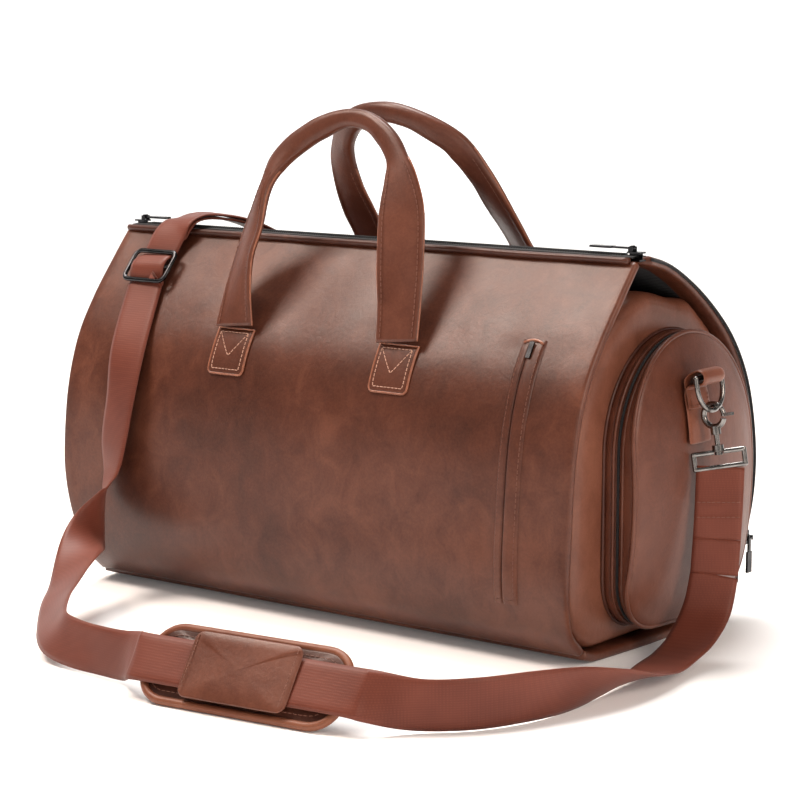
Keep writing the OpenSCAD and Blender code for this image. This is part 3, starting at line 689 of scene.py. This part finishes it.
def patch(name, x0, at, body):
    """A stitched leather patch on the wrap below a handle's leg: at(z, off) gives (y, z)."""
    low, high, r, side = PATCH_LOW, PATCH_HIGH, PATCH_R, HANDLE_W / 2
    rows, cols = 16, 18
    zs = [low + (high - low) * (k / (rows - 1)) ** 1.15 for k in range(rows)]
    verts = []
    for front in (1, 0):
        for z in zs:
            short = max(0, r - (z - low))
            half = side - (r - math.sqrt(max(0, r * r - short * short)))
            for j in range(cols):
                f = j / (cols - 1) * 2 - 1
                edge = 1 if (abs(f) > 0.999 or z in (zs[0], zs[-1])) else 0
                off = (PATCH_T - 0.8 * edge) if front else -0.6
                y, zz = at(z, off + 0.15 * ripple((x0 + f * 20, z, 0), 12, 6) * front)
                verts.append((x0 + f * half, y, zz))
    n = rows * cols
    faces = grid_faces(rows, cols) + flipped(grid_faces(rows, cols, start=n))
    rim = list(range(cols)) + [k * cols + cols - 1 for k in range(1, rows)]
    rim += [n - 1 - k for k in range(1, cols)] + [n - cols - k * cols for k in range(1, rows - 1)]
    faces += [(a, a + n, b + n, b) for a, b in zip(rim, rim[1:] + rim[:1])]
    obj = piece(name, verts, faces, [LEATHER_END], body)

    def lay(points, off):
        return [(x, *at(z, off)) for x, z in points]
    left = x0 - side
    arc = [math.radians(a) for a in (25, 50, 75)]
    border = [(left + 0.6, high), (left + 0.6, low + r)]
    border += [(left + r - (r - 0.6) * math.cos(a), low + r - (r - 0.6) * math.sin(a)) for a in arc]
    border.append((left + r + 1, low + 0.6))
    border += [(2 * x0 - x, z) for x, z in reversed(border)]
    top = [(left + 1, high - 0.4), (x0, high - 0.4), (x0 + side - 1, high - 0.4)]
    piece(name + "_edge", *joined([tube(lay(even2(border, 1.5), 1.5), 1.0), tube(lay(top, 2.2), 0.7)]),
          [EDGE], body)
    a, b, sewn = x0 - 15.5, x0 + 15.5, high - 3.5
    lines = ([(a, sewn), (a, low + 4.5), (b, low + 4.5), (b, sewn)],
             [(a, sewn), (x0, low + 15), (b, sewn)],
             [(a, sewn), (b, sewn)])
    piece(name + "_thread", *stitches([lay(even2(q, 1.5), 2.55) for q in lines], 2.6, 1.1, 0.42),
          [THREAD_LIGHT], body)
    return obj


for face, at, body in (("front", front_at, "front_wing"), ("back", back_at, "bag")):
    pair = [patch("patch_%s_%s" % (face, end), x, at, body)
            for end, x in (("left", -HANDLE_X), ("right", HANDLE_X))]
    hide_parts(face + "_handle_patches")

# ---------------------------------------------------------------- welt pocket on the front
def welt_x(z):
    """The welt's middle at a height: it bows a little."""
    return 215 + 1.2 * math.sin((z - 48) / 60)


def strip_on_front(name, z0, z1, profile, mat, node):
    """A strip down the front: profile is (x offset, height above the surface) across it."""
    zs = [p[1] for p in even2([(0, z1), (0, z0)], 3.0)]
    verts = []
    for i, z in enumerate(zs):
        fade = min(1, i / 2, (len(zs) - 1 - i) / 2)
        for dx, up in profile:
            y, zz = front_at(z, -0.4 + (up + 0.4) * (0.35 + 0.65 * fade))
            verts.append((welt_x(z) + dx, y, zz))
    obj = piece(name, verts, flipped(grid_faces(len(zs), len(profile))), [mat], "front_wing")
    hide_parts(node)


# (mm across the welt, mm above the front)
LIPS = [(-11, -0.8), (-10.2, 1.0), (-9, 1.7), (-6, 1.4), (-4.6, 1.9), (-3.4, 1.6), (-2.9, -0.3),
        (-2.2, -0.5), (-1.6, 1.8), (0, 2.3), (4, 1.7), (8, 1.3), (10, 1.0), (11, -0.8)]
strip_on_front("welt", 48, 252, LIPS, LEATHER, "welt_pocket")
strip_on_front("welt_zip_line", 60, 246, [(-3.3, 0.1), (-2.6, 0.5), (-1.9, 0.1)], TAPE, "welt_zip")
SEAM = 8.6
lines = [[(welt_x(z) + dx, *front_at(z, 1.5)) for z in range(54, 248, 4)] for dx in (-SEAM, SEAM)]
lines += [[(welt_x(z) + dx, *front_at(z, 1.4)) for dx in (-SEAM, 0, SEAM)] for z in (250, 52)]
piece("welt_thread", *stitches(lines, 3.0, 1.4, 0.3), [THREAD], "front_wing")
bar = [(welt_x(250) + dx, *front_at(251.5 - 2.5 * (dx / 9) ** 2, 1.2)) for dx in range(-9, 10, 3)]
piece("welt_bar", *tube(bar, 1.1), [EDGE], "front_wing")

# ---------------------------------------------------------------- inner bag and end panels
SPAN = FRONT[13:-1] + BACK[2:-14]
SPAN_N = normals(SPAN)


def inset(d):
    """The inner bag's section, d inside the wrap's outer face, closed by an arch on top."""
    side = [(y - d * n[0], z - d * n[1]) for (y, z), n in zip(SPAN, SPAN_N)]
    arch = curve([side[-1], (22, 288 - d), (-16, 296 - d), (-48, 289 - d), side[0]], 6)
    return side + arch[1:-1]


def inner_bag():
    """The open-topped shell inside the wrap: its outer skin, its lining and the hems between them."""
    rows, cols = 41, len(SPAN)
    n = rows * cols
    verts = []
    for d in (10, 14.5):
        for x in [-258 + 516 * k / (rows - 1) for k in range(rows)]:
            for (y, z), out in zip(SPAN, SPAN_N):
                off = d + 0.5 * ripple((x, y, z), 60, 3)
                verts.append((x, y - off * out[0], z - off * out[1]))
    skin, lining = grid_faces(rows, cols), flipped(grid_faces(rows, cols, start=n))
    hems = [(k * cols + e, (k + 1) * cols + e, n + (k + 1) * cols + e, n + k * cols + e)
            for k in range(rows - 1) for e in (0, cols - 1)]
    which = [0] * len(skin) + [1] * len(lining) + [0] * len(hems)
    obj = piece("inner_bag_shell", verts, skin + lining + hems, [LEATHER, CLOTH], "bag", which)
    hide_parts("inner_bag", "bag_lining")


inner_bag()


PANEL_MID = Vector((0, 140))
DOME_R = 500


def domed(profile, place_x, tip_x=None):
    """An end panel inside the wrap: profile is (share of the way in, x, inset in mm)."""
    outline = inset(10.3)
    verts, n = [], len(outline)
    for share, x, pull in profile:
        for y, z in outline:
            v = Vector((y, z)) - PANEL_MID
            p = PANEL_MID + (v * (1 - share) - v.normalized() * pull)
            verts.append((place_x(share, x, p.x, p.y), p.x, p.y))
    tip, last = len(verts), len(verts) - n
    verts.append((tip_x or sum(v[0] for v in verts[last:]) / n, *PANEL_MID))
    rim = [(last + k, last + (k + 1) % n, tip) for k in range(n)]
    return verts, grid_faces(len(profile), n, around=True) + rim


def right_x(share, x, y, z):
    """The soft panel round the shoe pocket, smoother at its rim."""
    return x + 0.9 * ripple((x, y, z), 42, 12) * (1 if share > 0.05 else 0.3)


def left_dome(y, z):
    return -(math.sqrt(max(0, DOME_R ** 2 - y ** 2 - (z - 140) ** 2)) - 219)


def left_x(share, x, y, z):
    """The plain panel: its rim as given, and a shallow dome inside it."""
    return (left_dome(y, z) if x is None else x) + 0.9 * ripple((0, y, z), 45, 21)


RIGHT_PROFILE = [(0, 246, 0), (0, 256, -0.6), (0, 262, 0.8), (0, 266.5, 4), (0, 268.4, 9),
                 (0.12, 268.8, 9), (0.3, 268, 9), (0.6, 267, 0), (0.9, 267, 0)]
LEFT_PROFILE = [(0, -246, 0), (0, -256, -0.6), (0, -260, 1)] + [
    (share, None, 2) for share in (0.01, 0.04, 0.1, 0.2, 0.35, 0.5, 0.7, 0.9)]
verts, faces = domed(RIGHT_PROFILE, right_x)
# The right end panel wears the lighter leather: painted light against the shade of the front wrap.
end_right = piece("end_right", verts, flipped(faces), [LEATHER_PAINTED_LIGHT], None)
end_left = piece("end_left", *domed(LEFT_PROFILE, left_x, -281), [LEATHER_END], None)
for obj, node in ((end_right, "end_panel_right"), (end_left, "end_panel_left")):
    subdivide(obj)
    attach(obj, "bag")
    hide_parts(node)

# ---------------------------------------------------------------- shoe pocket
# Its middle, the radius and centre height of its round top, its bottom and its lower corners
POCKET_Y, POCKET_R, POCKET_MID, POCKET_LOW, CORNER = 6, 88, 165, 24, 40
FACE_R, FACE_C, FACE_Z = 400, 310 - 400, 130


def face_x(y, z):
    """The x of the pocket's face, part of a wide sphere."""
    return FACE_C + math.sqrt(FACE_R ** 2 - (y - POCKET_Y) ** 2 - (z - FACE_Z) ** 2)


def pocket_line(grow, step=4.0):
    """The pocket's outline: a round top, straight sides and two lower corners."""
    out = [(POCKET_R + grow, 0, POCKET_MID, range(0, 181, 6)),
           (CORNER + grow, CORNER - POCKET_R, POCKET_LOW + CORNER, range(180, 271, 9)),
           (CORNER + grow, POCKET_R - CORNER, POCKET_LOW + CORNER, range(270, 361, 9))]
    line = [Vector((POCKET_Y + y + r * math.cos(t), z + r * math.sin(t), 0))
            for r, y, z, arc in out for t in map(math.radians, arc)]
    return [(p.x, p.y) for p in even(line + line[:1], step)][:-1]


# (x, mm outside the outline) round the gusset, with a groove for the zip
GUSSET = [(268, -0.4), (270.5, 0.9), (273.5, 1.5), (276.8, 0.8), (277.6, -0.8), (284.8, -0.8),
          (285.6, 0.9)]
# (mm behind the face, mm outside the outline) where the gusset turns into the face
TURN = [(6.0, 1.6), (3.4, 1.2), (1.4, 0.2), (0.4, -1.4)]


def shoe_pocket():
    """The gusset and the face in one skin, closed by a fan in the middle of the face."""
    base = pocket_line(0)
    centre = Vector((POCKET_Y, 120))
    verts = []

    def ring(x_of, grow):
        for y, z in base:
            d = (Vector((y, z)) - centre).normalized()
            verts.append((x_of(y, z), y + d.x * grow, z + d.y * grow))
    for at, grow in GUSSET:
        ring(lambda y, z: at, grow)
    for back, grow in TURN:
        ring(lambda y, z: face_x(y, z) - back, grow)
    for share in (0.04, 0.09, 0.16, 0.26, 0.38, 0.52, 0.68, 0.84, 0.95):
        for y, z in base:
            p = centre + (Vector((y, z)) - centre) * (1 - share)
            soft = 1.0 * ripple((300, p.x, p.y), 50, 31) - 0.6 * math.exp(-((share - 0.09) / 0.05) ** 2)
            verts.append((face_x(p.x, p.y) + soft, p.x, p.y))
    n, tip = len(base), len(verts)
    verts.append((face_x(*centre), *centre))
    faces = grid_faces(tip // n, n, around=True)
    faces += [(tip - n + k, tip - n + (k + 1) % n, tip) for k in range(n)]
    return verts, flipped(faces)


pocket = piece("shoe_pocket", *shoe_pocket(), [LEATHER_END], None)
subdivide(pocket)
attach(pocket, "bag")
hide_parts("pocket_gusset", "pocket_face")


def ring_tube(x_of, grow, r, name, mat, nodes=()):
    """A closed tube that follows the pocket's outline."""
    line = [(x_of(y, z), y, z) for y, z in pocket_line(grow, 3.0)]
    verts, faces = tube(line + [line[0]], r, 10)
    obj = piece(name, verts, faces[:-2], [mat], "bag")
    if nodes:
        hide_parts(*nodes)
    return obj


ring_tube(lambda y, z: face_x(y, z) - 2.6, 1.0, 2.0, "pocket_piping_rim", LEATHER_END, ("pocket_piping",))
ring_tube(lambda y, z: 277.2, 0.4, 1.5, "pocket_lip_inner", LEATHER)
ring_tube(lambda y, z: 285.8, 0.4, 1.3, "pocket_lip_outer", LEATHER)
ring_tube(lambda y, z: 281.3, -0.6, 1.3, "pocket_zip_coil", TAPE, ("pocket_zip",))
# A tube in the darkest leather round the pocket's foot: the real seam, drawn dark as painted shade where
# the pocket meets the end panel.
ring_tube(lambda y, z: 268.9, 1.6, 1.6, "pocket_seam_painted_shade", LEATHER_DEEP)

# ---------------------------------------------------------------- zips
def teeth(line):
    """The coil's teeth: small bars across the top zip."""
    shape = ((-1.6, -0.5), (-1.3, 0.5), (1.3, 0.5), (1.6, -0.5))
    return joined([tube([p + Vector((0, y, z)) for y, z in shape], 0.55, 6) for p in even(line, 2.4)])


ZIP_Y, ZIP_HALF = -38, 270
for side, body, half, edge in ((-1, "front_wing", "front", -48.5), (1, "bag", "back", -28.5)):
    inner = ZIP_Y + side * 0.8
    xs = [-ZIP_HALF + 2 * ZIP_HALF * k / 90 for k in range(91)]
    section = ((edge, 315.2), (edge, 316.1), (inner, 316.9), (inner, 315.9))
    tape = [(x, y + 0.15 * ripple((x, 0, 0), 12, side), z) for x in xs for y, z in section]
    coil = teeth([(x, inner + side * 1.6, 316.9) for x in (-256, 256)])
    verts, faces = joined([(tape, grid_faces(len(xs), 4, around=True)), coil])
    obj = piece("top_zip_" + half, verts, faces, [TAPE], body)
    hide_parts(half + "_zip_half")

roll = [(x, -51.6, 313.2 + 0.4 * ripple((x, 0, 0), 60, 5)) for x in range(-271, 272, 6)]
piece("top_edge_roll", *tube(roll, 2.8, 10), [LEATHER_DEEP], "front_wing")

# the garment compartment's zip, let into the right edge of the back
EDGE_LINE = list(zip(BACK[26:], BACK_N[26:]))
coil = [(275.9, y - 3.6 * n[0], z - 3.6 * n[1]) for (y, z), n in EDGE_LINE]
tape = [(x, y - d * n[0], z - d * n[1]) for (y, z), n in EDGE_LINE
        for d, x in ((5.0, 274.9), (4.8, 275.7), (2.4, 275.7), (2.2, 274.9))]
verts, faces = joined([(tape, grid_faces(len(coil), 4, around=True)), tube(coil, 0.9, 8)])
garment = piece("garment_zip_line", verts, faces, [TAPE], "bag")
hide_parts("garment_zip")

# ---------------------------------------------------------------- chapes
def chape(side):
    """The leather loop that holds a D-ring, sewn to an end: up, round the bar and back down."""
    if side == "right":
        s, bar_x, low = 1, HANG_X[0], 168
    else:
        s, bar_x, low = -1, -HANG_X[1], 180

    def wall(z):
        return face_x(HANG_Y, z) if s > 0 else -left_dome(HANG_Y, z)
    rise = [(wall(z) + 1.9, z) for z in (low, low + 14, low + 28, 208)]
    loop = [(bar_x + dx, z) for dx, z in ((-9, 214.5), (-2, 216.2), (3.6, 218), (5.4, 222), (3.6, 226),
                                          (0, 227.4), (-4, 226.4), (-10, 223))]
    fall = [(wall(217) + 3.2, 217), (wall(207) + 4.2, 206), (wall(196) + 4.2, 196)]
    verts, faces, _ = ribbon([(s * x, HANG_Y, z, 0, 1, 0) for x, z in rise + loop + fall], 5, 32, 2.4)
    mat = LEATHER_INNER if side == "right" else LEATHER
    obj = piece("chape_%s_leather" % side, verts, faces, [mat], "bag")
    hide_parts("chape_" + side)
    subdivide(obj)
    lines = [[(s * (wall(z) + 5.6), HANG_Y + dy, z) for z in (198, 204, 208)] for dy in (-12.5, 12.5)]
    lines.append([(s * (wall(199) + 5.7), HANG_Y + dy, 199) for dy in (-12.5, 0, 12.5)])
    piece("chape_%s_thread" % side, *stitches(lines, 2.6, 1.2, 0.3), [THREAD], "bag")


chape("right")
chape("left")

# ---------------------------------------------------------------- shoulder pad
PAD_TURN = Matrix.Rotation(math.radians(PAD_YAW), 3, "Z") @ Matrix.Rotation(math.radians(-PAD_LEAN), 3, "X")


def on_pad(x, y, z):
    """A point given in the leaning pad's own directions: along, through and across."""
    return tuple(Vector(PAD_AT) + PAD_TURN @ Vector((x, y, z)))


def slab(long, wide, r, y0, y1, crown, shares, seed):
    """A rounded rectangle with a crowned front (y0) and a flatter back (y1)."""
    mid, half = (y0 + y1) / 2, (y1 - y0) / 2
    outline, core = rounded(long, wide, r), rounded(long, wide, r, r * 0.999)
    n, rim = len(outline), 7
    verts = []
    for k in range(rim):
        a = math.pi * (k / (rim - 1) - 0.5)
        e = 1 - (1 - math.cos(a)) * min(1, half / r * 1.2)
        for (x, z), (px, pz) in zip(outline, core):
            verts.append((px + (x - px) * e, mid + half * math.sin(a), pz + (z - pz) * e))
    faces = grid_faces(rim, n, around=True)
    for sign, start in ((-1, 0), (1, (rim - 1) * n)):
        ring, last, quads = verts[start:start + n], start, []
        for share in shares:
            now = len(verts)
            up = crown * math.sin(math.pi / 2 * min(1, share * 1.6)) if sign < 0 else 0.2 * crown
            for x, y, z in ring:
                x, z = x * (1 - share), z * (1 - share)
                verts.append((x, y + sign * (up + 0.35 * ripple((x, z, sign * 9), 24, seed)), z))
            quads += [(last + k, last + (k + 1) % n, now + (k + 1) % n, now + k) for k in range(n)]
            last = now
        quads.append(tuple(last + k for k in range(n)))
        faces += flipped(quads) if sign < 0 else quads
    return [on_pad(*v) for v in verts], faces


PAD_SIZE = (176, 60, 24)


def pad_ring(y, inside):
    """A closed line round the pad at a depth, some millimetres in from its edge."""
    line = [on_pad(x, y, z) for x, z in rounded(*PAD_SIZE, inside)]
    return line + line[:1]


pad = piece("pad_body", *slab(*PAD_SIZE, 3.2, 9.2, 1.2, (0.1, 0.25, 0.5, 0.8), 41), [LEATHER_DEEP], None)
puff(pad, 2.0, 1.2)
sleeve = piece("pad_sleeve_leather", *slab(96, 53, 8, -4.6, -2.2, 1.6, (0.08, 0.2, 0.45, 0.8), 44),
               [LEATHER_END], None)
puff(sleeve, 1.5, 0.8)
for obj, node in ((pad, "shoulder_pad"), (sleeve, "pad_sleeve")):
    subdivide(obj)
    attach(obj, "shoulder_pad")
    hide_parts(node)
verts, faces = tube(even(pad_ring(4.8, 0.6), 4), 3.4, 10)
piece("pad_piping", verts, faces[:-2], [LEATHER_INNER], "shoulder_pad")
piece("pad_thread", *stitches([even(pad_ring(2.1, 7.5), 2)], 3, 1.5, 0.32), [THREAD], "shoulder_pad")
lines = [even([on_pad(s * 44, -6.0, -23), on_pad(s * 44, -6.0, 23)], 2) for s in (-1, 1)]
piece("sleeve_thread", *stitches(lines, 3, 1.5, 0.32), [THREAD], "shoulder_pad")

# ---------------------------------------------------------------- tri-glide
def frame_bar(points, w, t):
    """A closed bar of flattened round section along points that lie in the glide's plane."""
    n, sides, verts = len(points), 12, []
    for i, p in enumerate(points):
        ahead = (points[(i + 1) % n] - points[i - 1]).normalized()
        side = ahead.cross(GLIDE_OUT).normalized()
        for k in range(sides):
            c = 2 * math.pi * k / sides
            verts.append(p + side * (w / 2 * math.cos(c)) + GLIDE_OUT * (t / 2 * math.sin(c)))
    return verts, grid_faces(n, sides, around=True, along=True)


outer = frame_bar([Vector(on_glide(x, -z, 0)) for x, z in rounded(48, 31, 6, step=15)], 4.4, 3.6)
bar = tube([on_glide(-23, 0, 0), on_glide(23, 0, 0)], 1.7, 12)
glide = piece("tri_glide_frame", *joined([outer, bar]), [GUNMETAL], "tri_glide")
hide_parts("tri_glide")

# ---------------------------------------------------------------- strap seams
BAND_ACROSS, BAND_OUT = Vector((-0.79, -0.61, 0)), Vector((0.61, -0.79, 0))
lines = [[Vector((330 - z * 0.004, -11.5, z)) + BAND_ACROSS * f * 17.5 + BAND_OUT * 3.9
          for f in (-1, -0.5, 0, 0.5, 1)] for z in (112, 124)]
piece("strap_end_thread", *stitches(lines, 2.6, 1.2, 0.32), [THREAD], "strap_ring_right")

# ---------------------------------------------------------------- CAD pieces that stay
KEEP = {NICKEL: ("pocket_slider", "d_ring_right", "d_ring_left", "snap_hook_right", "snap_hook_left",
                 "hook_gate_right", "hook_gate_left", "strap_ring_right", "strap_ring_left"),
        GUNMETAL: ("zip_slider_right", "zip_slider_left", "zip_pull_right", "zip_pull_left",
                   "pocket_pull", "garment_slider", "garment_pull", "welt_slider"),
        PLASTIC: ("buckle_male", "buckle_female"),
        TAPE: ("cinch_web_front", "cinch_web_back"),
        BOARD: ("base_board",)}
for mat, names in KEEP.items():
    for name in names:
        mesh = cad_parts[name].data
        mesh.materials.clear()
        mesh.materials.append(mat)

# ---------------------------------------------------------------- floor, light and finish
WALL_Y, BEND_R, WALL_TOP, WIDE = 6000, 1500, 3000, 9000


def backdrop():
    """White paper: the floor, a bend and a low wall behind, which glows enough to stay white."""
    turn = [math.radians(a) for a in range(10, 100, 10)]
    bend = [(WALL_Y - BEND_R + BEND_R * math.sin(a), BEND_R - BEND_R * math.cos(a)) for a in turn]
    section = [(-WIDE, 0), (WALL_Y - BEND_R, 0)] + bend + [(WALL_Y, WALL_TOP)]
    verts = [(x, y, z) for x in (-WIDE, WIDE) for y, z in section]
    n = len(section)
    faces = [(i, i + 1, n + i + 1, n + i) for i in range(n - 1)]
    paper = [plain(name, (0.93, 0.93, 0.93), (0.95, 0.95, 0.95), 0.8, 40, 0.02,
                   Emission_Color=(1, 1, 1, 1), Emission_Strength=glow)
             for name, glow in (("paper_floor", 0.06), ("paper_wall", 0.75))]
    floor = piece("backdrop", verts, faces, paper, None, [0] + [1] * (len(faces) - 1))
    floor.data.transform(Matrix.Rotation(math.radians(38), 4, "Z"))


backdrop()
WARM, OVERHEAD = (1.0, 0.86, 0.76), (1.0, 0.97, 0.94)


def placed(name, data):
    obj = bpy.data.objects.new(name, data)
    scene.collection.objects.link(obj)
    return obj


def light(name, at, size, power):
    """A warm rectangular softbox that looks at the bag."""
    data = bpy.data.lights.new(name, "AREA")
    data.shape = "RECTANGLE"
    data.size, data.size_y = size
    data.energy = power
    data.color = WARM
    obj = placed(name, data)
    obj.location = at
    obj.rotation_euler = (Vector((0, 0, 0.15)) - Vector(at)).to_track_quat("-Z", "Y").to_euler()


light("key", (-1.1, -0.8, 2.25), (0.9, 0.9), 66)
light("front", (1.0, -2.6, 1.4), (1.6, 1.2), 9)
light("fill", (2.6, -0.5, 1.4), (1.2, 1.6), 48)
sky_data = bpy.data.lights.new("overhead", "SUN")
sky_data.energy = 3.3
sky_data.angle = math.radians(28)
sky_data.color = OVERHEAD
placed("overhead", sky_data).rotation_euler = Vector((-0.30, 0.32, 1.0)).to_track_quat("Z", "Y").to_euler()
world = bpy.data.worlds.new("world")
world.use_nodes = True
world.node_tree.nodes["Background"].inputs["Color"].default_value = (1, 1, 1, 1)
world.node_tree.nodes["Background"].inputs["Strength"].default_value = 0.14
scene.world = world
scene.view_settings.view_transform = "Standard"
